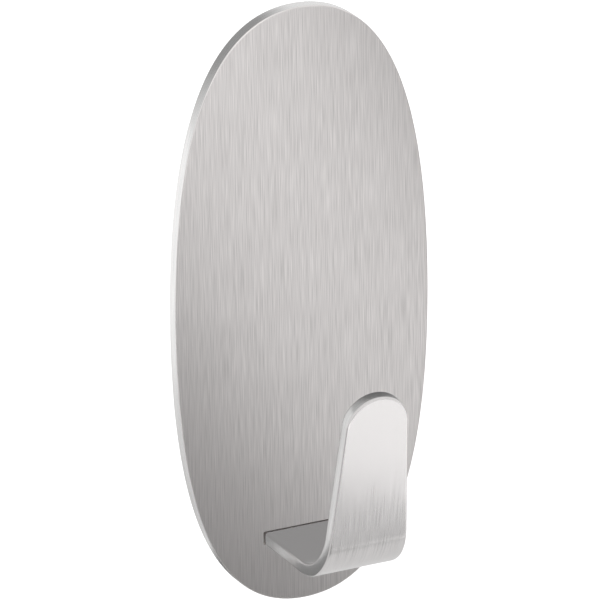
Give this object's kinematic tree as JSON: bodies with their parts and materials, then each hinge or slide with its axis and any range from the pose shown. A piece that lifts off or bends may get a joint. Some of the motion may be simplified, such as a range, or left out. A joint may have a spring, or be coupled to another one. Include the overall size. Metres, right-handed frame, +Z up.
{
  "type": "adhesive hook",
  "caption": "Tall oval plate of brushed stainless sheet with a foam adhesive back and a flat strip hook that leaves a slot near its lower end, bends up and ends in a round tip.",
  "frame": {"origin": "centre of the pad's face on the wall", "axes": "+Z up along the plate, +Y into the wall, +X to the right seen from the front"},
  "size_m": [0.031, 0.0213, 0.07],
  "materials": {
    "plate_steel": "satin, brushed lengthwise",
    "hook_steel": "satin, brushed lengthwise",
    "weld_metal": "ground flush",
    "pad_foam": "matt closed-cell foam"
  },
  "bodies": {
    "root": {"back_plate": "plate_steel", "hook": "hook_steel", "plug_weld": "weld_metal", "adhesive_pad": "pad_foam"}
  },
  "joints": []
}
